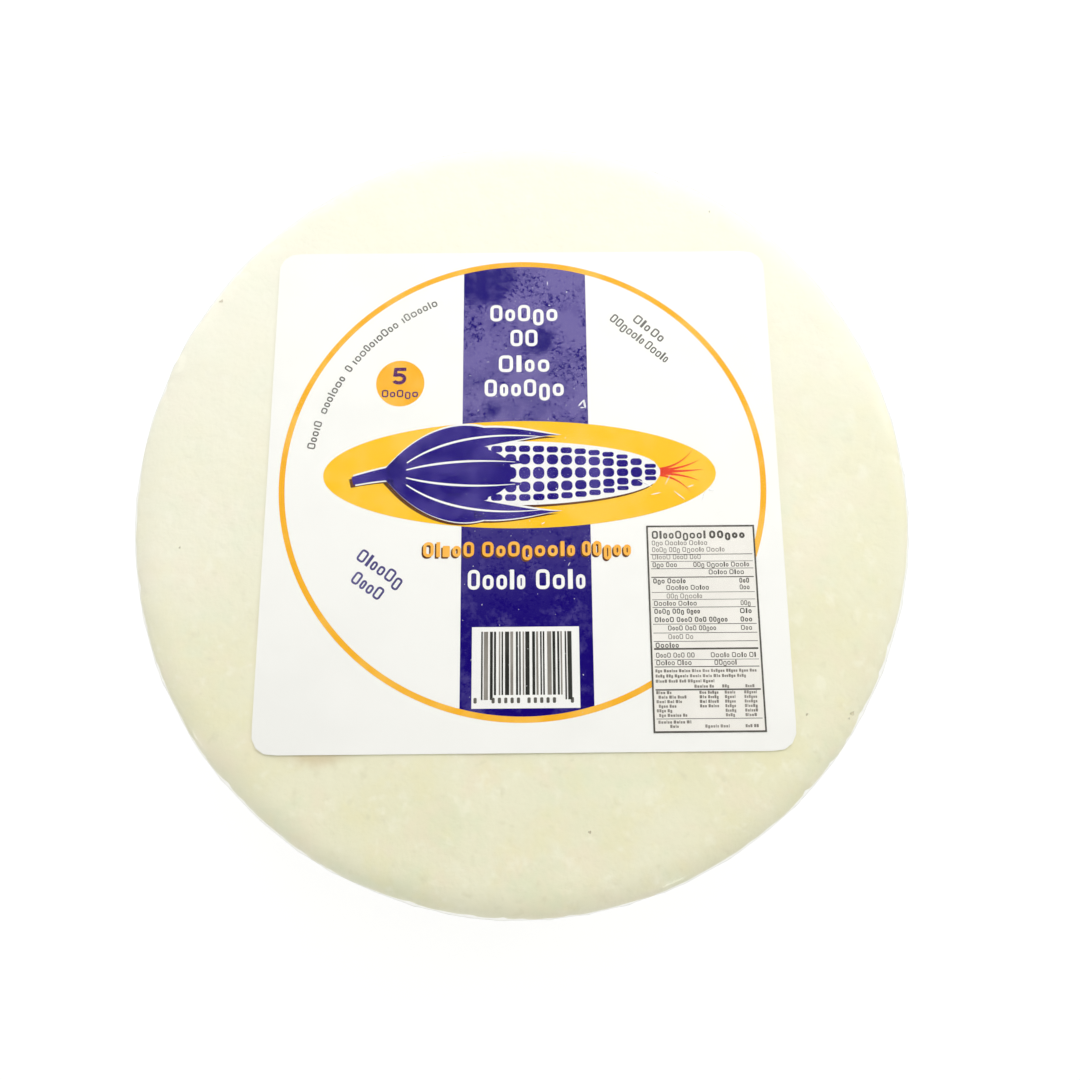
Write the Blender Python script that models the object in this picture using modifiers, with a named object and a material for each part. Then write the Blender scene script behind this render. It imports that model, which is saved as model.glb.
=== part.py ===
"""A pack of five white-corn arepas: flat round corn cakes stacked in snug clear film, with a square
label on the top one, under the film.

Units are metres and +Z is up. The pack lies on z = 0 with the label facing up, and the label's
lower edge faces -Y. The origin is the middle of the pack's underside.
"""

from math import atan2, cos, hypot, pi, sin, sqrt

import bmesh
import bpy

# Driving dimensions
AREPA_COUNT = 5
AREPA_RADIUS = 0.0790
AREPA_THICKNESS = 0.0072
RIM_WIDTH = 0.0060  # how far in from the edge an arepa's rounded rim reaches
RIM_STEPS = 6

FILM_THICKNESS = 0.0003
FILM_GROOVE = 0.0010  # how deep the film dips between two arepas
VENT_RADIUS = 0.0030  # the hole that lets air out of the film, in the middle of the underside

LABEL_WIDTH = 0.1016
LABEL_LENGTH = 0.1031
LABEL_THICKNESS = 0.0003
LABEL_CORNER = 0.0032
LABEL_CORNER_STEPS = 4
LABEL_CENTRE = (0.0003, 0.0015)

GAP = 0.0003  # between pieces that touch
TURN_STEPS = 48
MERGE = 0.00001

# Each arepa's outline from the bottom up: (wave, size in metres, angle in radians). Wave 1 shifts
# the arepa sideways, wave 2 makes it oval and wave 3 makes it slightly three-cornered.
OUTLINES = (
    ((1, 0.0007, 0.6), (2, 0.0005, 0.9), (3, 0.0003, 2.1)),
    ((1, 0.0008, 3.6), (2, 0.0006, 2.4), (3, 0.0002, 0.4)),
    ((1, 0.0006, 5.2), (2, 0.0004, 0.2), (3, 0.0004, 1.3)),
    ((1, 0.0007, 2.2), (2, 0.0007, 1.1), (3, 0.0002, 0.8)),
    ((1, 0.0001, 0.0), (2, 0.0010, pi / 2), (3, 0.0001, 0.0)),
)

# Heights worked out from the dimensions
FIRST_BOTTOM = FILM_THICKNESS + GAP
PITCH = AREPA_THICKNESS + GAP
STACK_TOP = FIRST_BOTTOM + AREPA_COUNT * PITCH - GAP
LABEL_BOTTOM = STACK_TOP + GAP
FILM_TOP = LABEL_BOTTOM + LABEL_THICKNESS + GAP + FILM_THICKNESS


def remove_everything():
    for item in list(bpy.data.objects):
        bpy.data.objects.remove(item, do_unlink=True)


def new_collection(name):
    collection = bpy.data.collections.new(name)
    bpy.context.scene.collection.children.link(collection)
    return collection


def new_material(name, colour, roughness, transmission=0.0, alpha=1.0):
    material = bpy.data.materials.new(name)
    material.use_nodes = True
    material.diffuse_color = (*colour, alpha)
    shader = material.node_tree.nodes["Principled BSDF"]
    shader.inputs["Base Color"].default_value = (*colour, 1.0)
    shader.inputs["Roughness"].default_value = roughness
    shader.inputs["Metallic"].default_value = 0.0
    shader.inputs["Transmission Weight"].default_value = transmission
    shader.inputs["Alpha"].default_value = alpha
    return material


def arepa_middle(index):
    """The height of the middle of an arepa, counted from the bottom one, which is 0."""
    return FIRST_BOTTOM + index * PITCH + AREPA_THICKNESS / 2


def outline_offset(index, angle):
    """How far an arepa's edge lies outside the plain circle at this angle."""
    return sum(size * cos(wave * (angle - start)) for wave, size, start in OUTLINES[index])


def stack_offset(height, angle):
    """The same for the whole stack at any height, blended between one arepa and the next."""
    place = (height - arepa_middle(0)) / PITCH
    place = min(max(place, 0.0), AREPA_COUNT - 1.0)
    lower = min(int(place), AREPA_COUNT - 2)
    share = place - lower
    below = outline_offset(lower, angle)
    above = outline_offset(lower + 1, angle)
    return below + (above - below) * share


def make_uneven(mesh):
    """Moves a turned mesh's vertices out or in to the stack's uneven outline."""
    for vertex in mesh.vertices:
        x, y, height = vertex.co
        radius = hypot(x, y)
        if radius > VENT_RADIUS * 1.5:
            offset = stack_offset(height, atan2(y, x)) * radius / AREPA_RADIUS
            vertex.co.x *= 1 + offset / radius
            vertex.co.y *= 1 + offset / radius


def turned_object(name, profile, material, collection):
    """Turns a profile of (radius, height) points about Z, then gives it the stack's outline."""
    outline = bpy.data.meshes.new(name + "_profile")
    points = [(radius, 0.0, height) for radius, height in profile]
    edges = [(i, i + 1) for i in range(len(points) - 1)]
    outline.from_pydata(points, edges, [])
    piece = bpy.data.objects.new(name, outline)
    collection.objects.link(piece)
    screw = piece.modifiers.new("Turn", "SCREW")
    screw.steps = TURN_STEPS
    screw.render_steps = TURN_STEPS
    screw.use_merge_vertices = True
    screw.merge_threshold = MERGE
    screw.use_normal_calculate = False
    graph = bpy.context.evaluated_depsgraph_get()
    mesh = bpy.data.meshes.new_from_object(piece.evaluated_get(graph), depsgraph=graph)
    piece.modifiers.remove(screw)
    piece.data = mesh
    mesh.name = name
    bpy.data.meshes.remove(outline)
    make_uneven(mesh)
    mesh.materials.clear()
    mesh.materials.append(material)
    mesh.shade_smooth()
    mesh.set_sharp_from_angle(angle=pi / 5)
    return piece


def rim_points():
    """An arepa's rounded rim as (distance in from the edge, height above its middle), top to bottom."""
    points = []
    for step in range(RIM_STEPS + 1):
        angle = pi / 2 - pi * step / RIM_STEPS
        points.append((RIM_WIDTH * (1 - cos(angle)), AREPA_THICKNESS / 2 * sin(angle)))
    return points


def make_arepa(index, material, collection):
    middle = arepa_middle(index)
    profile = [(0.0, middle + AREPA_THICKNESS / 2)]
    profile += [(AREPA_RADIUS - inset, middle + height) for inset, height in rim_points()]
    profile += [(0.0, middle - AREPA_THICKNESS / 2)]
    return turned_object(f"arepa_{index + 1}", profile, material, collection)


def film_side(clearance):
    """One face of the film's side from top to bottom: a bulge over each arepa and a groove between."""
    points = []
    for index in reversed(range(AREPA_COUNT)):
        widest = AREPA_RADIUS + clearance
        middle = arepa_middle(index)
        points.append((widest - FILM_GROOVE / 4, middle + PITCH / 4))
        points.append((widest, middle))
        points.append((widest - FILM_GROOVE / 4, middle - PITCH / 4))
        if index > 0:
            points.append((widest - FILM_GROOVE, middle - PITCH / 2))
    return points


def make_film(material, collection):
    """The film: its outer face from the top's middle to the vent, then its inner face back."""
    flat_radius = AREPA_RADIUS - RIM_WIDTH
    shoulder = AREPA_RADIUS - RIM_WIDTH * (1 - sqrt(0.5))
    shoulder_drop = AREPA_THICKNESS / 2 * (1 - sqrt(0.5))
    inner_top = FILM_TOP - FILM_THICKNESS
    outer = [(0.0, FILM_TOP), (flat_radius, FILM_TOP), (shoulder + GAP, FILM_TOP - shoulder_drop / 2)]
    outer += film_side(GAP + FILM_THICKNESS)
    outer += [(shoulder + GAP, shoulder_drop / 2), (flat_radius, 0.0), (VENT_RADIUS, 0.0)]
    inner = [(VENT_RADIUS, FILM_THICKNESS), (flat_radius, FILM_THICKNESS)]
    inner += [(shoulder, shoulder_drop / 2 + FILM_THICKNESS)]
    inner += list(reversed(film_side(GAP)))
    inner += [(shoulder, inner_top - shoulder_drop / 2), (flat_radius, inner_top), (0.0, inner_top)]
    return turned_object("film", outer + inner, material, collection)


def make_label(material, collection):
    """A thin square plate with rounded corners, lying on the top arepa."""
    mesh = bpy.data.meshes.new("label")
    body = bmesh.new()
    bmesh.ops.create_cube(body, size=1.0)
    bmesh.ops.scale(body, vec=(LABEL_WIDTH, LABEL_LENGTH, LABEL_THICKNESS), verts=body.verts)
    middle = (*LABEL_CENTRE, LABEL_BOTTOM + LABEL_THICKNESS / 2)
    bmesh.ops.translate(body, vec=middle, verts=body.verts)
    upright = [edge for edge in body.edges if abs(edge.verts[0].co.z - edge.verts[1].co.z) > GAP / 2]
    bmesh.ops.bevel(
        body,
        geom=upright,
        offset=LABEL_CORNER,
        offset_type="OFFSET",
        segments=LABEL_CORNER_STEPS,
        profile=0.5,
        affect="EDGES",
    )
    body.to_mesh(mesh)
    body.free()
    piece = bpy.data.objects.new("label", mesh)
    collection.objects.link(piece)
    mesh.materials.append(material)
    return piece


def centre_on_origin(pieces, outermost):
    """Slides every piece together, so that the outermost one's box is centred on the Z axis."""
    points = [vertex.co for vertex in outermost.data.vertices]
    middle_x = (min(p.x for p in points) + max(p.x for p in points)) / 2
    middle_y = (min(p.y for p in points) + max(p.y for p in points)) / 2
    for piece in pieces:
        for vertex in piece.data.vertices:
            vertex.co.x -= middle_x
            vertex.co.y -= middle_y


def build():
    remove_everything()
    collection = new_collection("arepa_pack")
    dough = new_material("white_corn_dough", (0.90, 0.88, 0.72), 0.55)
    card = new_material("label_card", (0.93, 0.93, 0.91), 0.45)
    clear = new_material("clear_film", (0.95, 0.96, 0.95), 0.08, transmission=1.0, alpha=0.25)
    pieces = [make_arepa(index, dough, collection) for index in range(AREPA_COUNT)]
    pieces.append(make_label(card, collection))
    film = make_film(clear, collection)
    pieces.append(film)
    centre_on_origin(pieces, film)


build()
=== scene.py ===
"""The looks of a pack of five white-corn arepas in clear film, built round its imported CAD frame.

The arepas, the label, its print and the film are meshes made here. Lengths are in metres, and MM
turns millimetres into metres. Places come from the frame's boxes and from the driving sizes below.
"""

from math import atan2, cos, degrees, hypot, pi, radians, sin, sqrt

import bmesh
import bpy
import numpy as np
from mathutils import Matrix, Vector, noise


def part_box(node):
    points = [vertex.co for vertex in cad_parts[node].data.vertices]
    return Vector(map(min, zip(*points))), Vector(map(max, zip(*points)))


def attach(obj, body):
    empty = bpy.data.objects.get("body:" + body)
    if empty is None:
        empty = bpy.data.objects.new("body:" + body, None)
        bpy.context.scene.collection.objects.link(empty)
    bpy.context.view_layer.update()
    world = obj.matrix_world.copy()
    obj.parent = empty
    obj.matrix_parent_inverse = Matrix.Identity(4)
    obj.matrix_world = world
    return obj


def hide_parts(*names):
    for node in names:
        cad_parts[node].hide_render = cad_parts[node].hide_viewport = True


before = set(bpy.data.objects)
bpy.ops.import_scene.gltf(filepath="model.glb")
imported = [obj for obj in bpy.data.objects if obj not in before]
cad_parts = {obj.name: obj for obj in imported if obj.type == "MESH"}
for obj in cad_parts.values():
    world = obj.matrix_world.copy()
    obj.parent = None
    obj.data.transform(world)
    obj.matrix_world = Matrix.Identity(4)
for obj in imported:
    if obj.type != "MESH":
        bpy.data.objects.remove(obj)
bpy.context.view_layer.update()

MM = 0.001
TURN = 2 * pi

# Arepas
AREPA_NODES = sorted(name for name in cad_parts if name.startswith("arepa_"))
TOP_NODE = AREPA_NODES[-1]
EDGE_WAVES = 4
RIM_WIDTH = 6.0 * MM
AREPA_SEGMENTS = 540
TOP_FLAT_RINGS = 52
PLAIN_FLAT_RINGS = 8
UNDER_FLAT_RINGS = 6
RIM_RINGS = 18
SETTLE_RISE = 1.1 * MM

# Label
LABEL_LOW, LABEL_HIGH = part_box("label")
LABEL_MIDDLE = (LABEL_LOW + LABEL_HIGH) / 2
LABEL_HALF_X = (LABEL_HIGH.x - LABEL_LOW.x) / 2
LABEL_HALF_Y = (LABEL_HIGH.y - LABEL_LOW.y) / 2
LABEL_CORNER = 3.8 * MM
CARD_MIDDLE = LABEL_MIDDLE + Vector((0.07, -0.25, 0.0)) * MM  # the print sits slightly off the card's middle
CARD_HALF_X = LABEL_HALF_X + 0.35 * MM
LABEL_THICKNESS = 0.22 * MM
LABEL_SEGMENTS = 240
LABEL_RINGS = 26
INK_LIFT = 0.009 * MM
INK_THICKNESS = 0.006 * MM
INK_CELL = 2.0  # the widest cell of a printed shape, in millimetres

# Film
FILM_CLEARANCE = 0.14 * MM
FILM_SEGMENTS = 640
FILM_GROOVE = 0.6 * MM
TENT_WIDTH = 1.6 * MM
VENT_RADIUS = 3.0 * MM
GROOVE_STEPS = 12
SIDE_ROW = 48  # the first row of the film's grid that is on its side
SIDE_ROWS = 58
FOLD_DEPTH = 0.75 * MM

# Camera and light
LENS = 27.67
SENSOR = 36.0
CAMERA_FROM_LABEL = Vector((2.6, -45.0, 159.9)) * MM
CAMERA_TURN = (radians(11.96), radians(-0.16), radians(-0.51))
SKY_LOW = 1.03
SKY_HIGH = 0.16


# ---------------------------------------------------------------- noise and meshes


def wobble(points, size, seed):
    """Smooth noise from about -1 to 1 at each point, with lumps about as wide as size."""
    shift = Vector((seed * 7.31, seed * 3.77, seed * 5.13))
    return np.array([noise.noise(Vector(point) / size + shift) for point in points])


def ridges(points, size, seed):
    """Noise from 0 to 1 that is near 1 only along narrow winding lines."""
    return (1 - np.abs(wobble(points, size, seed)) * 1.6).clip(0, 1) ** 4


def columns(*values):
    """Several arrays of one shape as the columns of one array of points."""
    return np.stack([np.broadcast_to(value, values[0].shape) for value in values], axis=-1)


def smooth_step(value):
    value = np.clip(value, 0.0, 1.0)
    return value * value * (3 - 2 * value)


def add_piece(mesh, material):
    """A piece on the root body that shows this mesh, shaded smooth."""
    mesh.materials.append(material)
    mesh.shade_smooth()
    piece = bpy.data.objects.new(mesh.name, mesh)
    bpy.context.scene.collection.objects.link(piece)
    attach(piece, "root")
    return piece


def loft(name, rings, first_pole=None, last_pole=None):
    """A mesh through closed rings of points, which run anticlockwise seen from above and go from
    the top's middle outwards and down. A pole closes an end with a fan of triangles."""
    count, around = rings.shape[:2]
    points = [tuple(point) for point in rings.reshape(-1, 3)]
    here = np.arange(around)
    after = (here + 1) % around
    faces = []
    for ring in range(count - 1):
        inner, outer = ring * around, (ring + 1) * around
        quads = np.stack([inner + here, outer + here, outer + after, inner + after], axis=1)
        faces += quads.tolist()
    if first_pole is not None:
        pole = len(points)
        points.append(tuple(first_pole))
        faces += [[pole, a, b] for a, b in zip(here.tolist(), after.tolist())]
    if last_pole is not None:
        pole = len(points)
        points.append(tuple(last_pole))
        last = (count - 1) * around
        faces += [[pole, last + b, last + a] for a, b in zip(here.tolist(), after.tolist())]
    mesh = bpy.data.meshes.new(name)
    mesh.from_pydata(points, [], faces)
    return mesh


# ---------------------------------------------------------------- outlines


def edge_waves(node):
    """The outline of a CAD arepa, as the waves of its radius by angle, fitted to its widest ring."""
    low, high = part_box(node)
    points = np.array([vertex.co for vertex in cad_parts[node].data.vertices])
    widest = points[np.abs(points[:, 2] - (low.z + high.z) / 2) < 0.1 * MM]
    angle = np.arctan2(widest[:, 1], widest[:, 0])
    radius = np.hypot(widest[:, 0], widest[:, 1])
    return np.linalg.lstsq(wave_table(angle), radius, rcond=None)[0]


def wave_table(angle):
    rows = [np.ones_like(angle)]
    for wave in range(1, EDGE_WAVES + 1):
        rows += [np.cos(wave * angle), np.sin(wave * angle)]
    return np.stack(rows, axis=-1)


OUTLINES = [edge_waves(node) for node in AREPA_NODES]
MIDDLES = [(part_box(node)[0].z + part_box(node)[1].z) / 2 for node in AREPA_NODES]
PITCH = MIDDLES[1] - MIDDLES[0]
HALF_THICK = (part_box(TOP_NODE)[1].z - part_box(TOP_NODE)[0].z) / 2
STACK_TOP = MIDDLES[-1] + HALF_THICK
LABEL_FACE = STACK_TOP + 0.08 * MM + LABEL_THICKNESS
# A faint brown painted shadow on the top cake, along the label's lower left edge
PAINTED_SHADOW_MIDDLE = (-38.5 * MM, -50.6 * MM)
PAINTED_SHADOW_FLATTEN = 0.34
# Where the film lies tight on the band: (middle, reach)
TIGHT_PATCHES = (
    ((-7.2 * MM, 47.2 * MM, LABEL_FACE), 7.8 * MM),
    ((4.0 * MM, 32.4 * MM, LABEL_FACE), 4.6 * MM),
    ((-6.0 * MM, 17.5 * MM, LABEL_FACE), 3.3 * MM),
)


def edge_radius(index, angle):
    return wave_table(angle) @ OUTLINES[index]


def stack_radius(height, angle):
    """The stack's radius at any height, blended from the middle of one arepa to the next."""
    place = np.clip((height - MIDDLES[0]) / PITCH, 0.0, len(MIDDLES) - 1.001)
    lower = place.astype(int)
    share = place - lower
    radii = np.stack([edge_radius(index, angle) for index in range(len(MIDDLES))])
    chosen = np.arange(len(angle))
    return radii[lower, chosen] * (1 - share) + radii[lower + 1, chosen] * share


def rounded_square(angle, half_x, half_y, corner):
    """The points of a rounded rectangle's outline about its own middle, one for each angle."""
    x, y = np.cos(angle), np.sin(angle)
    reach = np.minimum(half_x / np.maximum(np.abs(x), 1e-9), half_y / np.maximum(np.abs(y), 1e-9))
    flat_x, flat_y = np.abs(x) * reach, np.abs(y) * reach
    centre_x, centre_y = half_x - corner, half_y - corner
    in_corner = (flat_x > centre_x) & (flat_y > centre_y)
    along = np.abs(x) * centre_x + np.abs(y) * centre_y
    inside = np.maximum(along**2 - (centre_x**2 + centre_y**2 - corner**2), 0)
    reach = np.where(in_corner, along + np.sqrt(inside), reach)
    return np.stack([x * reach, y * reach], axis=-1)


# ---------------------------------------------------------------- surfaces that pieces share


def dough_relief(points, seed):
    """How far an arepa's surface stands out or in: broad swells, lumps and grain."""
    swell = wobble(points, 17 * MM, seed) * 0.10 * MM
    lumps = wobble(points, 5.5 * MM, seed + 1) * 0.055 * MM
    grain = wobble(points, 1.7 * MM, seed + 2) * 0.022 * MM
    return swell + lumps + grain


def rim_cracks(points, seed):
    """How deep the short upright cracks and small pits of a pressed cake's rim are."""
    upright = points * np.array([1, 1, 0.45])
    cracks = ridges(upright, 6.5 * MM, seed + 3) ** 2 * smooth_step(wobble(points, 9 * MM, seed + 4) * 2 + 0.3)
    pits = smooth_step(wobble(points, 2.6 * MM, seed + 6) * 2.4 - 0.6)
    return (cracks * 0.45 + pits * 0.16) * MM


def settle(points):
    """Moves points up or down by the slow unevenness of a stack of soft cakes. The bottom stays
    flat, and the top nearly so."""
    flat = points.reshape(-1, 3)
    height = flat[:, 2] / STACK_TOP
    share = 4 * height * (1 - height) + 0.05 * smooth_step(height)
    rise = wobble(flat * np.array([1, 1, 2.6]), 34 * MM, 60) * SETTLE_RISE
    moved_points = flat.copy()
    moved_points[:, 2] += rise * np.clip(share, 0, 1)
    return moved_points.reshape(points.shape)


def card_rise(x, y):
    """How far the label's card stands above its flat place, because it follows the dough."""
    points = columns(x, y, 0.0).reshape(-1, 3)
    rise = wobble(points, 24 * MM, 40) * 0.05 * MM + wobble(points, 9 * MM, 41) * 0.02 * MM
    return rise.reshape(np.shape(x))


def label_top(x, y):
    return LABEL_FACE + card_rise(x, y)


# ---------------------------------------------------------------- arepas


def rim_sections(steps):
    """Places round a rim from its top to its bottom, as (share of the rim's width in from the edge,
    share of half the thickness above the middle)."""
    turn = np.linspace(pi / 2, -pi / 2, steps)
    side, rise = np.cos(turn), np.sin(turn)
    return 1 - side**0.9, np.sign(rise) * np.abs(rise) ** 0.95


def make_arepa(index, flat_rings, material):
    """A flat round corn cake with a rounded, slightly dented rim and a lumpy surface."""
    seed = 3 + index * 5
    angle = np.linspace(0, TURN, AREPA_SEGMENTS, endpoint=False)
    around = columns(np.cos(angle), np.sin(angle), 0.0) * 79 * MM
    dents = wobble(around, 16 * MM, seed) * 0.25 * MM + wobble(around, 4 * MM, seed + 1) * 0.09 * MM
    edge = edge_radius(index, angle) + dents
    width = RIM_WIDTH * (1 + 0.16 * wobble(around, 22 * MM, seed + 2))
    rows = []
    for share in np.linspace(0, 1, flat_rings + 1)[1:-1]:
        rows.append((share * (edge - width), 1.0, 0.0))
    for inset, rise in zip(*rim_sections(RIM_RINGS)):
        rows.append((edge - width * inset, rise, 1 - inset))
    for share in np.linspace(1, 0, UNDER_FLAT_RINGS + 1)[1:-1]:
        rows.append((share * (edge - width), -1.0, 0.0))
    middle = MIDDLES[index]
    rings = []
    for radius, rise, sideways in rows:
        flat = columns(np.cos(angle) * radius, np.sin(angle) * radius, middle + rise * HALF_THICK)
        out = columns(np.cos(angle) * sideways, np.sin(angle) * sideways, rise)
        relief = dough_relief(flat, seed) * (1 + 1.2 * sideways) - rim_cracks(flat, seed) * sideways
        rings.append(flat + out * relief[:, None])
    top = (0, 0, middle + HALF_THICK)
    bottom = (0, 0, middle - HALF_THICK)
    rings, top, bottom = settle(np.array(rings)), settle(np.array(top)), settle(np.array(bottom))
    mesh = loft(f"corn_cake_{index + 1}", rings, top, bottom)
    piece = add_piece(mesh, material)
    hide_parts(AREPA_NODES[index])
    return piece


# Bran specks on the top cake: (x, y, length, width, direction in degrees) in millimetres from the
# label's middle
SPECKS = (
    (62.3, -45.1, 0.9, 0.7, 20),
    (61.6, -46.0, 0.4, 0.4, 0),
    (53.5, -45.2, 0.6, 0.4, 50),
    (-63.3, 41.0, 0.9, 0.6, 30),
    (-67.5, -12.0, 0.5, 0.4, 70),
    (12.0, -66.0, 0.6, 0.5, 10),
    (40.5, 61.0, 0.5, 0.4, 80),
)


def make_specks(cake):
    """Bran specks that lie on a cake's top."""
    points = np.array([vertex.co for vertex in cake.data.vertices])
    points = points[points[:, 2] > STACK_TOP - 1.5 * MM]
    corners, faces = [], []
    for x, y, length, width, turn in SPECKS:
        angle = np.linspace(0, TURN, 16, endpoint=False)
        uneven = 1 + 0.22 * np.sin(angle * 3 + x) + 0.12 * np.sin(angle * 5 + y)
        outline = columns(np.cos(angle) * length / 2 * uneven, np.sin(angle) * width / 2 * uneven)
        flat = place(outline, x, y, turn) * MM + np.array([LABEL_MIDDLE.x, LABEL_MIDDLE.y])
        nearest = [int(np.argmin(((points[:, :2] - point) ** 2).sum(axis=1))) for point in flat]
        start = len(corners)
        height = np.full(16, points[nearest, 2].max() + 0.03 * MM)
        corners += [tuple(corner) for corner in np.column_stack([flat, height])]
        corners.append((*flat.mean(axis=0), height.max()))
        faces += [(start + k, start + (k + 1) % 16, start + 16) for k in range(16)]
    mesh = bpy.data.meshes.new("dough_specks")
    mesh.from_pydata(corners, [], faces)
    piece = add_piece(mesh, speck_and_painted_light_material("dough_specks", (0.45, 0.37, 0.26), 0.45))


def make_label(material):
    """The label's card: a thin plate with rounded corners that follows the dough a little."""
    angle = np.linspace(0, TURN, LABEL_SEGMENTS, endpoint=False)
    outline = rounded_square(angle, CARD_HALF_X, LABEL_HALF_Y, LABEL_CORNER)
    shares = list(np.linspace(0, 1, LABEL_RINGS)[1:]) + list(np.linspace(1, 0, LABEL_RINGS)[:-1])
    rings = []
    for number, share in enumerate(shares):
        flat = outline * share + np.array([CARD_MIDDLE.x, CARD_MIDDLE.y])
        top = label_top(flat[:, 0], flat[:, 1])
        drop = 0.0 if number < LABEL_RINGS - 1 else LABEL_THICKNESS
        rings.append(columns(flat[:, 0], flat[:, 1], top - drop))
    height = float(label_top(np.array([CARD_MIDDLE.x]), np.array([CARD_MIDDLE.y]))[0])
    pole = (CARD_MIDDLE.x, CARD_MIDDLE.y, height)
    under = (pole[0], pole[1], height - LABEL_THICKNESS)
    mesh = loft("label_card", np.array(rings), pole, under)
    mesh.set_sharp_from_angle(angle=radians(40))
    piece = add_piece(mesh, material)
    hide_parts("label")
    return piece


# Printed shapes are grids of (x, y) points in millimetres from the label's middle.


def place(grid, x, y, turn=0.0):
    """Turns a grid about the label's middle by degrees and moves it to (x, y)."""
    c, s = cos(radians(turn)), sin(radians(turn))
    turned = np.stack([grid[..., 0] * c - grid[..., 1] * s, grid[..., 0] * s + grid[..., 1] * c], axis=-1)
    return turned + np.array([x, y])


def cells(length):
    return max(1, int(np.ceil(length / INK_CELL)))


def box(width, height):
    x = np.linspace(-width / 2, width / 2, cells(width) + 1)
    y = np.linspace(-height / 2, height / 2, cells(height) + 1)
    return np.stack(np.meshgrid(x, y, indexing="ij"), axis=-1)


def oval(width, height):
    """A filled oval, as strips between its two long sides."""
    turn = np.linspace(-pi / 2, pi / 2, max(16, 2 * cells(width)) + 1)
    across = np.linspace(-1, 1, max(2, cells(height)) + 1)
    x = np.sin(turn)[:, None] * width / 2 + across[None, :] * 0
    y = np.cos(turn)[:, None] * height / 2 * across[None, :]
    return np.stack([x, y], axis=-1)


def tile(length, height, corner):
    """A bar with rounded corners."""
    reach = length / 2 - corner
    turn = np.linspace(-pi / 2, 0, 5)
    left = [(-reach + sin(t) * corner, height / 2 - corner + cos(t) * corner) for t in turn]
    middle = [(x, height / 2) for x in np.linspace(-reach, reach, cells(2 * reach) + 1)[1:-1]]
    right = [(-x, y) for x, y in reversed(left)]
    return np.array([[(x, -y), (x, y)] for x, y in left + middle + right])


def frame_tile(length, height, line):
    """The outline of a bar with rounded corners, drawn as a line of even width."""
    outer_corner = min(line * 1.5, length / 2, height / 2)
    sides = []
    for inset, corner in ((0, outer_corner), (line, max(outer_corner - line, 0.02))):
        half_x, half_y = length / 2 - inset - corner, height / 2 - inset - corner
        outline = []
        for quarter in range(4):
            sign_x, sign_y = (1, 1, -1, -1)[quarter], (-1, 1, 1, -1)[quarter]
            for turn in np.radians(np.linspace(-90, 0, 5) + 90 * quarter):
                outline.append((sign_x * half_x + cos(turn) * corner, sign_y * half_y + sin(turn) * corner))
        sides.append(outline + outline[:1])
    return np.array(sides).transpose(1, 0, 2)


def brush(path, widths):
    """A stroke along a path of (x, y) points, as wide at each point as widths says."""
    path = np.asarray(path, dtype=float)
    ahead = np.gradient(path, axis=0)
    ahead /= np.hypot(ahead[:, 0], ahead[:, 1])[:, None]
    aside = np.stack([-ahead[:, 1], ahead[:, 0]], axis=-1)
    half = np.asarray(widths)[:, None] / 2
    return np.stack([path - aside * half, path, path + aside * half], axis=1)


def bend(start, pull, end, steps=24):
    """Points along a curve from start to end that leans towards pull."""
    t = np.linspace(0, 1, steps)[:, None]
    start, pull, end = np.array(start), np.array(pull), np.array(end)
    return (1 - t) ** 2 * start + 2 * t * (1 - t) * pull + t**2 * end


def hoop(width, height, line, start=0.0, end=360.0, steps=200):
    """Part of an oval line, between two angles in degrees. The line's middle is on the oval."""
    turn = np.radians(np.linspace(start, end, steps + 1))
    rows = []
    for side in (-0.5, 0.5):
        rows.append(
            np.stack(
                [np.cos(turn) * (width / 2 + side * line), np.sin(turn) * (height / 2 + side * line)],
                axis=-1,
            )
        )
    return np.stack(rows, axis=1)


def printed(name, grids, material, level):
    """One ink's shapes as a piece that lies on the label's card, level inks above it."""
    mesh = bpy.data.meshes.new(name)
    body = bmesh.new()
    for grid in grids:
        across, along = grid.shape[:2]
        x = grid[..., 0] * MM + LABEL_MIDDLE.x
        y = grid[..., 1] * MM + LABEL_MIDDLE.y
        z = label_top(x, y) + level * INK_LIFT
        corners = [[body.verts.new((x[i, j], y[i, j], z[i, j])) for j in range(along)] for i in range(across)]
        for i in range(across - 1):
            for j in range(along - 1):
                body.faces.new(
                    (corners[i][j], corners[i + 1][j], corners[i + 1][j + 1], corners[i][j + 1])
                )
    bmesh.ops.remove_doubles(body, verts=body.verts, dist=0.002 * MM)
    body.normal_update()
    bmesh.ops.reverse_faces(body, faces=[face for face in body.faces if face.normal.z < 0])
    body.to_mesh(mesh)
    body.free()
    mesh.materials.append(material)
    piece = bpy.data.objects.new(name, mesh)
    bpy.context.scene.collection.objects.link(piece)
    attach(piece, "root")
    thick = piece.modifiers.new("Ink", "SOLIDIFY")
    thick.thickness = INK_THICKNESS
    thick.offset = 1.0
    return piece


def clipped_band(width, top_height, ring_width, ring_height):
    """A band down the middle that ends on the ring at both ends. top_height sets its cell count."""
    x = np.linspace(-width / 2, width / 2, cells(width) + 1)
    reach = np.sqrt(1 - (x / (ring_width / 2)) ** 2) * ring_height / 2
    across = np.linspace(-1, 1, cells(top_height) + 1)
    return np.stack([x[:, None] + across[None, :] * 0, reach[:, None] * across[None, :]], axis=-1)


RING_WIDTH, RING_HEIGHT, RING_LINE = 96.2, 94.2, 1.15
RING_MIDDLE = (0.0, 1.4)
BAND_WIDTH = 25.5
BAND_MIDDLE_X = 0.6


# A word of print is a row of plain blocks: (width, height, drop below the line) for a cap height of 1.
BLOCKS = (
    (0.62, 1.00, 0.0),
    (0.42, 0.74, 0.0),
    (0.54, 0.74, 0.0),
    (0.54, 1.00, 0.26),
    (0.50, 0.74, 0.0),
    (0.22, 1.00, 0.0),
    (0.56, 0.74, 0.0),
)
BLOCK_GAP = 0.15


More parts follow.
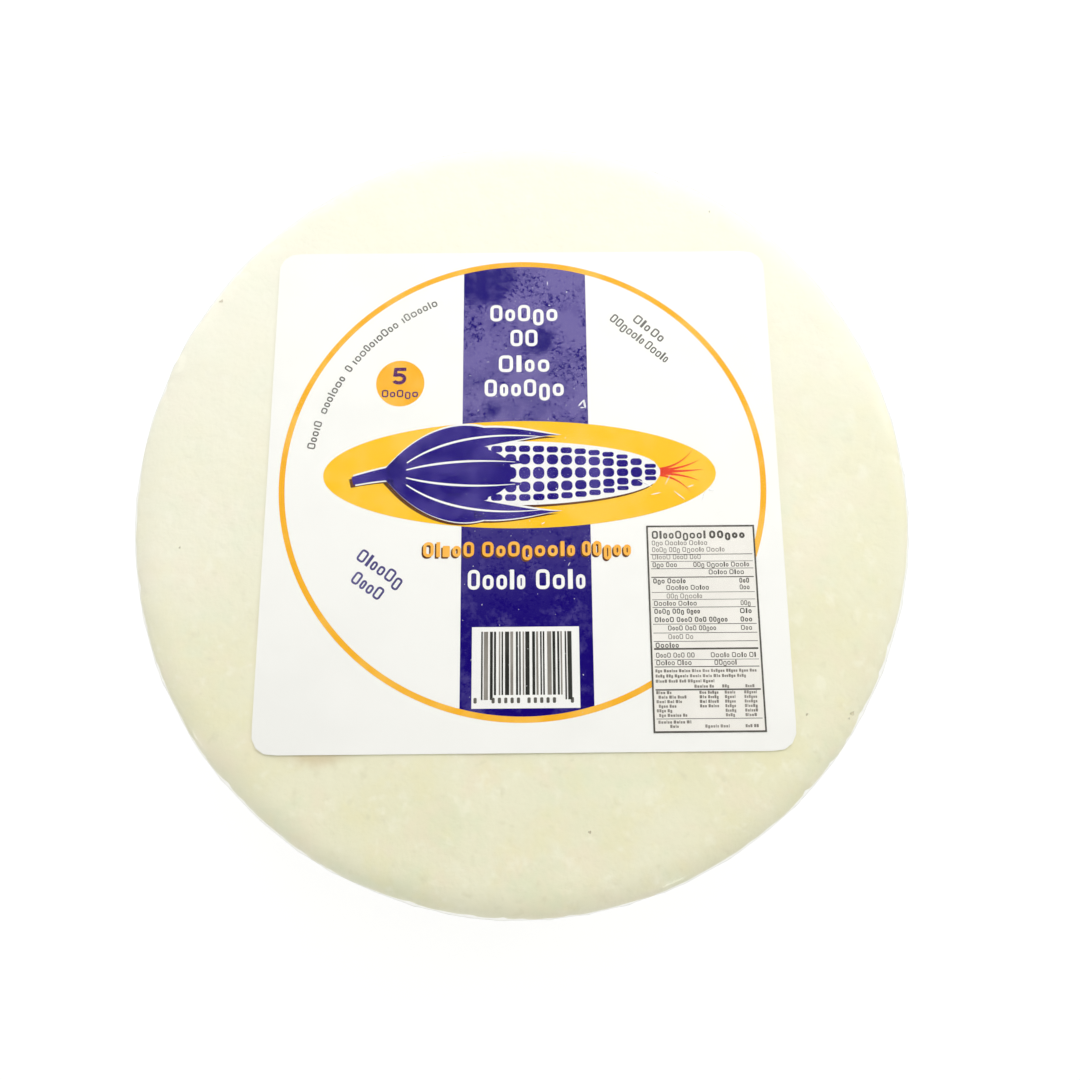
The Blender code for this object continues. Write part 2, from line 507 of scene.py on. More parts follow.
def block_word(count, first, height, length, line=0.0):
    """A word of count blocks, length long, with its foot on y = 0 and its middle on x = 0. With a
    line width the wider blocks are open frames."""
    chosen = [BLOCKS[0]] + [BLOCKS[(first + step * 3) % len(BLOCKS)] for step in range(1, count)]
    natural = sum(width for width, _, _ in chosen) + BLOCK_GAP * (count - 1)
    stretch = length / natural
    x = -length / 2
    blocks = []
    for width, tall, drop in chosen:
        wide = width * stretch
        is_frame = line > 0 and wide > 2.4 * line
        block = frame_tile(wide, tall * height, line) if is_frame else tile(wide, tall * height, 0.16 * min(height, wide))
        blocks.append(place(block, x + wide / 2, (tall / 2 - drop) * height))
        x += wide + BLOCK_GAP * stretch
    return blocks


def moved(grids, x, y, turn=0.0):
    return [place(grid, x, y, turn) for grid in grids]


def numeral_five(x, y, height):
    """A plain figure 5 of straight and round strokes."""
    line = 0.2 * height
    bar = tile(0.66 * height, line, 0.03 * height)
    stem = tile(0.5 * height, line, 0.03 * height)
    bowl = hoop(0.62 * height, 0.48 * height, line, 125, -150, 24)
    return [
        place(bar, x + 0.07 * height, y + 0.4 * height),
        place(stem, x - 0.2 * height, y + 0.21 * height, 84),
        place(bowl, x, y - 0.16 * height),
    ]


EAR_START, EAR_END, EAR_HALF = -15.0, 27.0, 6.4
EAR_MIDDLE_Y = 2.6


def ear_half(share):
    """Half the height of the ear of corn, from its base at 0 to its tip at 1."""
    return EAR_HALF * np.sqrt(np.clip(1 - share**2.6, 0, 1)) * (0.86 + 0.14 * np.sin(pi * np.clip(share, 0, 0.5)))


def ear_outline(grow):
    share = np.linspace(0, 1, 40)
    x = EAR_START + (EAR_END - EAR_START + grow) * share
    half = ear_half(share) + grow
    across = np.linspace(-1, 1, 5)
    return np.stack(
        [x[:, None] + across[None, :] * 0, EAR_MIDDLE_Y + half[:, None] * across[None, :]], axis=-1
    )


def ear_kernels():
    """Rounded kernels in curved rows."""
    kernels = []
    count = 15
    for column in range(count):
        share = (column + 0.5) / count
        half = float(ear_half(np.array([share]))[0])
        rows = 5 if half > 3.9 else 3
        edges = np.sin(np.linspace(-1, 1, rows + 1) * 1.25) / sin(1.25) * half * 0.97
        wide = (EAR_END - EAR_START) / count
        for low, high in zip(edges[:-1], edges[1:]):
            x = EAR_START + (EAR_END - EAR_START) * share
            tall = high - low
            kernels.append(place(tile(wide * 0.82, tall * 0.82, min(wide, tall) * 0.36), x, EAR_MIDDLE_Y + (low + high) / 2))
    return kernels


def husk_leaves(dx=0.0, dy=0.0, grow=0.0):
    """Pointed husk leaves that wrap the base of the ear, and its stalk."""
    base = (-27.0 + dx, EAR_MIDDLE_Y + dy)
    leaves = []
    for side in (1, -1):
        tips = ((7.5, 7.9, 4.6, 9.5), (-4.0, 8.4, 4.2, 10.4), (1.5, 2.1, 4.4, 3.4))
        for tip_x, tip_y, wide, pull in tips:
            path = bend(base, (-16.0 + dx, base[1] + side * pull), (tip_x + dx, base[1] + side * tip_y))
            share = np.linspace(0, 1, len(path))
            widths = wide * np.sin(pi * (0.12 + 0.88 * share)) ** 0.7 + grow
            leaves.append(brush(path, widths * (1 - share**8)))
    stalk = bend(base, (-30.0 + dx, base[1] - 0.4), (-34.0 + dx, base[1] - 1.4))
    leaves.append(brush(stalk, np.linspace(2.6, 1.7, len(stalk)) + grow))
    return leaves


def corn_silk():
    """Strands of silk that sweep out from the tip of the ear."""
    strands = []
    for lean, reach, wide in ((4.6, 8.2, 0.5), (2.6, 9.6, 0.62), (0.5, 10.2, 0.7), (-1.9, 9.4, 0.62), (-4.4, 7.6, 0.5)):
        tip = (EAR_END - 1.0 + reach, EAR_MIDDLE_Y + lean)
        path = bend((EAR_END - 1.5, EAR_MIDDLE_Y + lean * 0.12), (EAR_END + reach * 0.5, EAR_MIDDLE_Y + lean * 0.1), tip)
        share = np.linspace(0, 1, len(path))
        strands.append(brush(path, wide * (1.05 - share**1.5)))
    return strands


def leaf_ribs():
    base = (-26.0, EAR_MIDDLE_Y)
    ribs = []
    for side in (1, -1):
        for tip_x, tip_y, pull in ((4.0, 7.6, 9.5), (-1.5, 2.3, 3.4)):
            path = bend(base, (-16.0, base[1] + side * pull), (tip_x, base[1] + side * tip_y))
            share = np.linspace(0, 1, len(path))
            ribs.append(brush(path[3:], (0.1 + 0.35 * np.sin(pi * share))[3:]))
    return ribs


def make_print(inks):
    """Every printed shape on the label, from the lowest ink to the highest."""
    ring = place(hoop(RING_WIDTH, RING_HEIGHT, RING_LINE), *RING_MIDDLE)
    band = place(
        clipped_band(BAND_WIDTH, RING_HEIGHT, RING_WIDTH - RING_LINE * 0.4, RING_HEIGHT - RING_LINE * 0.4),
        BAND_MIDDLE_X,
        RING_MIDDLE[1],
    )
    printed("print_band", [band], band_material(), 1)
    printed("print_ring", [ring], inks["amber"], 2)
    printed("print_field", [place(oval(78.6, 22.3), -0.6, 2.4)], inks["gold"], 3)
    make_motif(inks)
    printed("print_badge", [place(oval(9.9, 10.0), -25.0, 21.9)], inks["amber"], 1)
    badge_words = numeral_five(-25.3, 23.5, 3.7) + moved(block_word(5, 1, 1.6, 7.4, 0.3), -25.0, 18.9)
    printed("print_badge_words", badge_words, inks["plum"], 2)
    white = []
    rows = ((5, 1, 14.0, 35.5), (2, 4, 5.6, 29.9), (4, 2, 10.4, 24.2), (6, 5, 16.2, 18.9))
    for count, first, length, y in rows:
        white += moved(block_word(count, first, 3.7, length, 0.68), 0.4, y)
    white += moved(block_word(5, 3, 3.9, 11.2, 0.66), -5.2, -20.9) + moved(block_word(4, 6, 3.9, 9.6, 0.66), 7.3, -20.9)
    printed("print_words_white", white, inks["white"], 4)
    orange = []
    for count, first, length, x in ((5, 2, 10.0, -14.6), (8, 1, 18.2, 1.1), (5, 4, 9.6, 16.4)):
        orange += moved(block_word(count, first, 3.0, length, 0.62), x, -14.4)
    shadow = [grid + np.array([-0.3, -0.32]) for grid in orange]
    printed("print_words_shade", shadow, inks["umber"], 4)
    printed("print_words_orange", orange, inks["orange"], 5)
    grey = moved(block_word(3, 2, 1.9, 4.0, 0.31), 24.5, 34.2, -41)
    grey += moved(block_word(2, 1, 1.9, 2.9, 0.31), 27.6, 31.5, -41)
    grey += moved(block_word(7, 4, 1.9, 8.6, 0.29), 21.4, 32.9, -41)
    grey += moved(block_word(5, 3, 1.9, 5.6, 0.27), 27.3, 27.8, -41)
    grey += arc_words()
    printed("print_words_grey", grey, inks["grey"], 1)
    blue = moved(block_word(6, 2, 2.6, 10.4, 0.42), -28.6, -17.6, -35) + moved(block_word(4, 5, 2.6, 6.8, 0.42), -31.0, -21.0, -35)
    printed("print_words_blue", blue, inks["dusk"], 1)
    printed("print_code_panel", [place(box(20.6, 15.4), 0.4, -35.9)], inks["white"], 4)
    make_code(0.0, -35.1, inks)
    make_table(35.0, -28.4, 21.0, 39.6, inks)


def make_motif(inks):
    """An ear of corn on its side with its husk, edged with white and shaded like raised print."""
    printed("print_ear_shade", [ear_outline(0.5) + np.array([-0.5, -0.55])] + husk_leaves(-0.5, -0.55, 0.1), inks["umber"], 4)
    printed("print_ear_edge", [ear_outline(0.55)] + husk_leaves(0.35, 0.1, 0.7), inks["white"], 5)
    husk_heart = place(oval(15.0, 10.6), -9.6, EAR_MIDDLE_Y)
    printed("print_ear", ear_kernels() + [husk_heart] + husk_leaves(), inks["indigo"], 7)
    printed("print_ear_ribs", leaf_ribs(), inks["white"], 8)
    printed("print_ear_silk", corn_silk(), inks["red"], 3.5)


def arc_words():
    """Small words of open blocks that follow the ring inside its upper left."""
    radius_x, radius_y, tall = 43.2, 42.3, 1.65
    blocks = []
    step = 0
    for start, end in ((171, 162.4), (160.4, 149.0), (146.4, 145.2), (143.6, 127.6), (125.4, 114.6)):
        angle = start
        while angle > end + 0.4:
            wide = (1.25, 0.95, 1.05, 0.4, 1.15)[step % 5]
            high = tall * (1.0 if step % 4 == 0 else 0.74)
            block = frame_tile(wide, high, 0.28) if wide > 0.6 else tile(wide * 0.75, high, 0.08)
            turn = radians(angle - degrees(wide / 2 / radius_x))
            foot = (high - tall) / 2
            x = cos(turn) * (radius_x + foot) + RING_MIDDLE[0]
            y = sin(turn) * (radius_y + foot) + RING_MIDDLE[1]
            blocks.append(place(block, x, y, degrees(turn) - 90))
            angle -= degrees((wide + 0.32) / radius_x)
            step += 1
    return blocks


def make_code(x, y, inks):
    """A row of bars of uneven widths that stands for a scan code and encodes nothing."""
    dark, pale = [], []
    across = -8.1
    number = 0
    while across < 8.6:
        wide = (0.30, 0.55, 0.30, 0.80, 0.40)[(number * 3) % 5]
        tall, drop = (12.9, 0.45) if number < 3 or across > 7.6 else (12.0, 0.0)
        bar = place(box(wide, tall), x + across + wide / 2, y - drop)
        (pale if number % 3 == 1 else dark).append(bar)
        across += wide + (0.22, 0.36, 0.22, 0.52)[(number * 5) % 4]
        number += 1
    printed("print_code_bars", dark, inks["black"], 5)
    printed("print_code_bars_pale", pale, inks["faint"], 5)
    places = list(np.linspace(-5.8, -1.0, 5)) + list(np.linspace(1.0, 5.8, 5)) + [-9.2, 9.2]
    feet = [place(tile(0.6, 1.05, 0.2), x + step, y - 7.0) for step in places]
    printed("print_code_feet", feet, inks["dark"], 5)


# Rules of the table: (share of its height from the top, thickness in millimetres)
TABLE_RULES = (
    (0.143, 0.14),
    (0.178, 0.10),
    (0.214, 0.12),
    (0.257, 0.20),
    (0.332, 0.10),
    (0.368, 0.10),
    (0.406, 0.12),
    (0.488, 0.12),
    (0.531, 0.12),
    (0.572, 0.12),
    (0.608, 0.34),
    (0.660, 0.10),
    (0.694, 0.16),
    (0.803, 0.28),
    (0.939, 0.12),
)
# Rows of small words: (share of its height from the top, spans of words as shares of its width)
FAINT_ROWS = (
    (0.086, ((0.04, 0.60),)),
    (0.120, ((0.04, 0.72),)),
    (0.157, ((0.04, 0.57),)),
    (0.352, ((0.16, 0.55),)),
    (0.551, ((0.16, 0.40),)),
)
PLAIN_ROWS = (
    (0.196, ((0.04, 0.27), (0.42, 0.95))),
    (0.234, ((0.56, 0.93),)),
    (0.310, ((0.16, 0.61), (0.84, 0.93))),
    (0.388, ((0.04, 0.50), (0.84, 0.93))),
    (0.509, ((0.16, 0.60), (0.83, 0.94))),
    (0.640, ((0.04, 0.40), (0.54, 0.95))),
    (0.676, ((0.04, 0.36), (0.57, 0.80))),
)
BOLD_ROWS = (
    (0.277, ((0.04, 0.34), (0.84, 0.93))),
    (0.427, ((0.04, 0.46), (0.83, 0.94))),
    (0.468, ((0.04, 0.71), (0.83, 0.94))),
    (0.592, ((0.04, 0.33),)),
)


def row_of_words(left, right, foot, height, number, line=0.0):
    """Words of small blocks that fill a row from left to right, different for each number."""
    words = []
    while right - left > height * 1.3:
        count = min(3 + number % 4, int((right - left) / (height * 0.62)))
        length = min(count * height * 0.74, right - left)
        words += moved(block_word(count, number, height, length, line), left + length / 2, foot)
        left += length + height * 0.55
        number += 3
    return words


def table_rows(rows, left, top, width, height, tall, line):
    words = []
    for number, (share, spans) in enumerate(rows):
        for start, end in spans:
            foot = top - share * height - tall * 0.42
            kind = number + int(start * 10)
            words += row_of_words(left + start * width, left + end * width, foot, tall, kind, line)
    return words


def make_table(x, y, width, height, inks):
    """A white box with a thin black frame, rules and small blocks, as a table of small print."""
    top, left = y + height / 2, x - width / 2
    line = 0.34
    printed("print_table_panel", [place(box(width, height), x, y)], inks["panel"], 5)
    lines = []
    for side in (-1, 1):
        lines.append(place(box(width + line, line), x, y + side * height / 2))
        lines.append(place(box(line, height), x + side * width / 2, y))
    for share, thick in TABLE_RULES:
        lines.append(place(box(width - 1.0, thick), x, top - share * height))
    printed("print_table_lines", lines, inks["dark"], 6)
    title = moved(block_word(9, 2, 1.6, 10.6, 0.32), x - 4.3, top - 2.5)
    title += moved(block_word(5, 4, 1.6, 7.0, 0.42), x + 5.2, top - 2.5)
    title += table_rows(BOLD_ROWS, left, top, width, height, 1.0, 0.19)
    printed("print_table_title", title, inks["dark"], 6)
    words = table_rows(PLAIN_ROWS, left, top, width, height, 0.95, 0.15)
    notes = [(0.713, 0.6, 20.2), (0.7375, 0.6, 17.8), (0.762, 0.6, 12.6), (0.787, 7.9, 11.6), (0.787, 13.2, 15.4)]
    notes += [(0.787, 17.6, 19.8), (0.974, 3.0, 4.6), (0.974, 9.6, 14.2), (0.974, 17.2, 19.8)]
    for row in range(6):
        share = 0.816 + 0.0213 * row
        notes.append((share, 0.6 + (row % 2) * 0.4, 3.6 + (row * 3) % 4 * 0.9))
        notes += [(share, 13.6, 15.6), (share, 17.3, 19.7)] + ([(share, 8.8, 12.4)] if row < 4 else [])
    printed("print_table_words", words, inks["slate"], 6)
    faint = table_rows(FAINT_ROWS, left, top, width, height, 0.95, 0.14)
    notes.append((0.954, 0.8, 7.2))
    for number, (share, start, end) in enumerate(notes):
        faint += row_of_words(left + start, left + end, top - share * height - 0.28, 0.58, number)
    printed("print_table_faint", faint, inks["faint"], 6)


# ---------------------------------------------------------------- film


def tent(distance):
    """The share of the label's height that the film keeps at a distance outside its edge."""
    return (1 - smooth_step(distance / TENT_WIDTH)) ** 1.5


def film_rings():
    """The film from the middle of its top, over the label and the rim, down the side and under the
    stack to the vent."""
    angle = np.linspace(0, TURN, FILM_SEGMENTS, endpoint=False)
    way = columns(np.cos(angle), np.sin(angle), 0.0)
    middle = np.array([CARD_MIDDLE.x, CARD_MIDDLE.y])
    card = rounded_square(angle, CARD_HALF_X + 0.15 * MM, LABEL_HALF_Y + 0.15 * MM, LABEL_CORNER) + middle
    top_index = len(MIDDLES) - 1
    flat_radius = edge_radius(top_index, angle) - RIM_WIDTH
    flat_edge = way[:, :2] * flat_radius[:, None]
    over_card = LABEL_FACE - STACK_TOP
    rings = []
    for share in np.linspace(0, 1, 27)[1:]:
        flat = middle + (card - middle) * share
        height = label_top(flat[:, 0], flat[:, 1]) + FILM_CLEARANCE
        rings.append(columns(flat[:, 0], flat[:, 1], height))
    steps = np.concatenate([[0.02, 0.045, 0.075, 0.11, 0.15], np.linspace(0.2, 1.0, 15)])
    for share in steps:
        flat = card + (flat_edge - card) * share
        distance = np.hypot(*(flat - card).T)
        height = STACK_TOP + over_card * tent(distance) + FILM_CLEARANCE
        rings.append(columns(flat[:, 0], flat[:, 1], height))
    for inset, rise in list(zip(*rim_sections(17)))[1:9]:
        radius = edge_radius(top_index, angle) - RIM_WIDTH * inset + FILM_CLEARANCE * (1 - inset)
        height = MIDDLES[-1] + rise * (HALF_THICK + FILM_CLEARANCE)
        rings.append(columns(way[:, 0] * radius, way[:, 1] * radius, np.full_like(radius, height)))
    side_steps = GROOVE_STEPS * (len(MIDDLES) - 1)
    for step in range(1, side_steps):
        height = MIDDLES[-1] + (MIDDLES[0] - MIDDLES[-1]) * step / side_steps
        dip = ((1 - cos(TURN * step / GROOVE_STEPS)) / 2) ** 1.3 * FILM_GROOVE
        radius = stack_radius(np.full_like(angle, height), angle) + FILM_CLEARANCE - dip
        rings.append(columns(way[:, 0] * radius, way[:, 1] * radius, np.full_like(radius, height)))
    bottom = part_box("film")[0].z + 0.12 * MM
    reach_down = MIDDLES[0] - bottom
    for inset, rise in list(zip(*rim_sections(17)))[8:]:
        radius = edge_radius(0, angle) - RIM_WIDTH * inset + FILM_CLEARANCE * (1 - inset)
        height = MIDDLES[0] + rise * reach_down
        rings.append(columns(way[:, 0] * radius, way[:, 1] * radius, np.full_like(radius, height)))
    for share in np.linspace(1, 0, 13)[1:]:
        radius = VENT_RADIUS + (edge_radius(0, angle) - RIM_WIDTH - VENT_RADIUS) * share
        rings.append(columns(way[:, 0] * radius, way[:, 1] * radius, np.full_like(radius, bottom)))
    return np.array(rings)


def crumple(rings):
    """Draws the film into upright folds down the side, which are deepest between two arepas and
    where the film turns under the stack, and ripples it slightly on top."""
    points = rings.reshape(-1, 3)
    angle = np.arctan2(points[:, 1], points[:, 0])
    radius = np.hypot(points[:, 0], points[:, 1])
    edge = edge_radius(len(MIDDLES) - 1, angle)
    over_rim = smooth_step((radius - edge + 3.5 * MM) / (3.5 * MM))
    in_groove = (1 - np.cos(TURN * (points[:, 2] - MIDDLES[0]) / PITCH)) / 2
    in_groove *= (points[:, 2] > MIDDLES[0]) & (points[:, 2] < MIDDLES[-1])
    low = 1 - smooth_step(points[:, 2] / (6 * MM))
    around = columns(np.cos(angle) * 79 * MM, np.sin(angle) * 79 * MM, points[:, 2])
    busy = smooth_step(0.5 + 0.9 * wobble(around * np.array([1, 1, 0.5]), 26 * MM, 76))
    broad = ridges(around * np.array([1, 1, 0.30]), 9.0 * MM, 72)
    fine = ridges(around * np.array([1, 1, 0.22]), 3.6 * MM, 71) * busy
    slack = 0.30 + 0.55 * in_groove + 0.6 * low
    out = (broad + 0.45 * fine) * slack * over_rim * FOLD_DEPTH
    beneath = (points[:, 2] < 0.5 * MM) & (radius < 77 * MM)
    flat_top = points[:, 2] > STACK_TOP - 0.4 * MM
    spokes = columns(np.cos(angle) * 30 * MM, np.sin(angle) * 30 * MM, radius * 0.15)
    folds = ridges(spokes, 4.5 * MM, 73) * smooth_step((radius - 12 * MM) / (50 * MM))
    moved_points = points.copy()
    outwards = np.where(beneath | flat_top, 0.0, out)
    moved_points[:, 0] += np.cos(angle) * outwards
    moved_points[:, 1] += np.sin(angle) * outwards
    ripples = ridges(points * np.array([1, 1, 0]), 30 * MM, 74) * 0.05 * MM
    ripples += (wobble(points, 9 * MM, 75) + 0.6) * 0.03 * MM
    moved_points[:, 2] += np.where(flat_top, ripples, 0.0)
    moved_points[:, 2] += np.where(beneath, folds * 0.3 * MM, 0.0)
    return moved_points.reshape(rings.shape)


def on_film(grid, row, column):
    """The film's point and outward direction at a fractional row and column of its grid."""
    low_row = np.clip(np.floor(row).astype(int), 1, len(grid) - 3)
    low_column = np.floor(column).astype(int)
    after = (low_column + 1) % grid.shape[1]
    here = low_column % grid.shape[1]
    a, b = (row - low_row)[:, None], (column - low_column)[:, None]
    upper = grid[low_row, here] * (1 - b) + grid[low_row, after] * b
    lower = grid[low_row + 1, here] * (1 - b) + grid[low_row + 1, after] * b
    out = np.cross(lower - upper, grid[low_row, after] - grid[low_row, here])
    out /= np.maximum(np.linalg.norm(out, axis=1, keepdims=True), 1e-12)
    return upper * (1 - a) + lower * a, out


def sliver(grid, rows, columns_along, width, lift):
    """A thin leaf-shaped strip that lies on the film along a path through its grid."""
    points, out = on_film(grid, rows, columns_along)
    along = np.gradient(points, axis=0)
    side = np.cross(out, along)
    side /= np.maximum(np.linalg.norm(side, axis=1, keepdims=True), 1e-12)
    share = np.linspace(0, 1, len(points))
    half = (np.sin(pi * share).clip(0) ** 0.7 * width / 2 + 0.004 * MM)[:, None]
    raised = points + out * lift
    return np.stack([raised - side * half, raised + side * half], axis=1)


def scatter(number, step):
    """A number from 0 to 1 that differs for each count, spread evenly by a fixed step."""
    return (number * step) % 1.0


def upright_fold_highlights_and_shades(grid, count):
    """Painted light on folds that run down the film's side on the crests of its waves. Each is a
    white strip of painted highlight with a grey strip of painted shade beside it. Most are long and a
    few are short."""
    radius = np.hypot(grid[:, :, 0], grid[:, :, 1])
    bright, shaded = [], []
    for number in range(1, count + 1):
        row = SIDE_ROW + 7 + scatter(number, 0.7548777) ** 1.4 * SIDE_ROWS * 0.7
        near = int(scatter(number, 0.5698403) * FILM_SEGMENTS)
        window = np.arange(near - 5, near + 6) % FILM_SEGMENTS
        crest = near - 5 + int(np.argmax(radius[int(row), window]))
        length = (0.15 + 0.8 * scatter(number, 0.4301597)) * SIDE_ROWS
        share = np.linspace(0, 1, 24)
        lean = (scatter(number, 0.3027756) - 0.5) * 7
        rows = np.clip(row + share * length, SIDE_ROW, SIDE_ROW + SIDE_ROWS + 4)
        size = 0.35 + 0.65 * scatter(number, 0.6180340)
        path = crest + lean * share
        # A white strip of painted highlight on the crest, and a grey strip of painted shade beside it.
        bright.append(sliver(grid, rows, path, 0.9 * MM * size, 0.03 * MM))
        shaded.append(sliver(grid, rows, path + 1.05 * size, 0.9 * MM * size, 0.02 * MM))
    return bright, shaded


# Small painted glints on creases in the film over the top: (x, y, length, direction in degrees,
# width) in millimetres from the label's middle
TOP_PAINTED_GLINTS = (
    (11.9, 17.2, 1.6, 52, 0.34),
    (12.7, 17.0, 1.7, 98, 0.46),
    (12.2, 16.3, 1.0, 5, 0.24),
    (12.5, 17.7, 0.7, 70, 0.50),
    (24.4, 0.2, 3.4, -28, 0.22),
    (26.5, -1.9, 2.2, 12, 0.20),
    (29.0, 1.0, 2.6, 62, 0.18),
    (31.2, -2.3, 3.0, -40, 0.22),
    (33.5, -0.4, 1.6, 20, 0.20),
    (35.9, -2.6, 1.8, 70, 0.18),
    (37.6, -1.2, 1.2, -15, 0.22),
    (5.4, 44.0, 1.0, 85, 0.16),
    (4.0, -7.8, 0.8, 30, 0.18),
    (9.0, -16.0, 0.9, 60, 0.16),
)


def top_painted_glints(grid):
    """Painted glints: the placed ones on creases over the top, and tiny bright grains where the
    film catches light.
    """
    top = grid[:SIDE_ROW].reshape(-1, 3)
    middle = np.array([LABEL_MIDDLE.x, LABEL_MIDDLE.y])
    strips = []
    placed = list(TOP_PAINTED_GLINTS)
    for number in range(90):
        across = (scatter(number, 0.7548777) - 0.5) * 25
        along = (scatter(number, 0.5698403) - 0.5) * 90
        size = 0.10 + 0.14 * scatter(number, 0.6180340) ** 3
        placed.append((0.6 + across, along, size * 1.7, number * 47, size))
    # Each is a white mark of painted glint that lies just over the film.
    for x, y, length, turn, width in placed:
        share = np.linspace(-0.5, 0.5, 7)
        way = np.array([cos(radians(turn)), sin(radians(turn))])
        flat = middle + (np.array([x, y]) + share[:, None] * way * length) * MM
        nearest = [int(np.argmin(((top[:, :2] - point) ** 2).sum(axis=1))) for point in flat]
        height = top[nearest, 2].max() + 0.03 * MM
        side = np.array([-way[1], way[0]])
        half = (np.cos(share * pi) ** 0.7 * width / 2 * MM)[:, None]
        rows = [np.column_stack([flat + sign * side * half, np.full(len(flat), height)]) for sign in (-1, 1)]
        strips.append(np.stack(rows, axis=1))
    return strips


def strip_mesh(name, strips, material):
    points, faces = [], []
    for strip in strips:
        start = len(points)
        points += [tuple(point) for point in strip.reshape(-1, 3)]
        faces += [(start + 2 * k, start + 2 * k + 1, start + 2 * k + 3, start + 2 * k + 2) for k in range(len(strip) - 1)]
    mesh = bpy.data.meshes.new(name)
    mesh.from_pydata(points, [], faces)
    piece = add_piece(mesh, material)
    return piece


def make_film(material):
    rings = settle(crumple(film_rings()))
    pole = rings[0].mean(axis=0)
    mesh = loft("clear_film", rings, first_pole=pole)
    piece = add_piece(mesh, material)
    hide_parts("film")
    bright, shaded = upright_fold_highlights_and_shades(rings, 150)
    # Painted light on the film: white strips are painted highlights on the folds' crests, grey strips painted shade
    # beside them, and white marks over the top painted glints.
    strip_mesh("film_crease_highlights", bright, speck_and_painted_light_material("film_crease_highlight", (0.97, 0.98, 1.0), 0.42))
    strip_mesh("film_crease_shades", shaded, speck_and_painted_light_material("film_crease_shade", (0.45, 0.45, 0.40), 0.16))
    strip_mesh("film_glints", top_painted_glints(rings), speck_and_painted_light_material("film_glint", (0.98, 0.98, 1.0), 0.85))
    return piece


# ---------------------------------------------------------------- materials


class Nodes:
    """A short way to write a material's nodes."""

    def __init__(self, name):
        self.material = bpy.data.materials.new(name)
        self.material.use_nodes = True
        self.tree = self.material.node_tree
        self.tree.nodes.clear()
        self.output = self.tree.nodes.new("ShaderNodeOutputMaterial")
        self.place = self.tree.nodes.new("ShaderNodeTexCoord").outputs["Object"]

    def add(self, kind, **inputs):
        node = self.tree.nodes.new(kind)
        for name, value in inputs.items():
            self.put(node.inputs[name.replace("_", " ")], value)
        return node

    def put(self, socket, value):
        if isinstance(value, bpy.types.NodeSocket):
            self.tree.links.new(value, socket)
        else:
            socket.default_value = value

    def noise(self, size, detail=2.0, roughness=0.5, distortion=0.0, seed=0.0):
        """Noise from 0 to 1 with patches about as wide as size."""
        node = self.add("ShaderNodeTexNoise", Scale=1 / size, Detail=detail, Roughness=roughness)
        node.inputs["Distortion"].default_value = distortion
        shift = self.add("ShaderNodeVectorMath")
        shift.operation = "ADD"
        self.put(shift.inputs[0], self.place)
        shift.inputs[1].default_value = (seed, seed * 0.7, seed * 0.3)
        self.put(node.inputs["Vector"], shift.outputs[0])
        return node.outputs["Fac"]

    def ramp(self, value, low, high, start=0.0, end=1.0):
        """Value mapped from low..high to start..end with soft ends."""
        node = self.add("ShaderNodeMapRange")
        node.interpolation_type = "SMOOTHSTEP"
        self.put(node.inputs["Value"], value)
        for name, number in (("From Min", low), ("From Max", high), ("To Min", start), ("To Max", end)):
            node.inputs[name].default_value = number
        return node.outputs["Result"]

    def maths(self, operation, a, b=0.0, c=0.0):
        node = self.add("ShaderNodeMath")
        node.operation = operation
        for socket, value in zip(node.inputs, (a, b, c)):
            self.put(socket, value)
        return node.outputs[0]

    def blend(self, share, a, b):
        """Colour a where share is 0 and colour b where it is 1."""
        node = self.add("ShaderNodeMix")
        node.data_type = "RGBA"
        self.put(node.inputs[0], share)
        self.put(node.inputs[6], (*a, 1.0) if isinstance(a, tuple) else a)
        self.put(node.inputs[7], (*b, 1.0) if isinstance(b, tuple) else b)
        return node.outputs[2]

    def bump(self, height, strength, distance):
        node = self.add("ShaderNodeBump", Height=height, Strength=strength, Distance=distance)
        return node.outputs["Normal"]

    def finish(self, shader):
        self.tree.links.new(shader, self.output.inputs["Surface"])
        return self.material


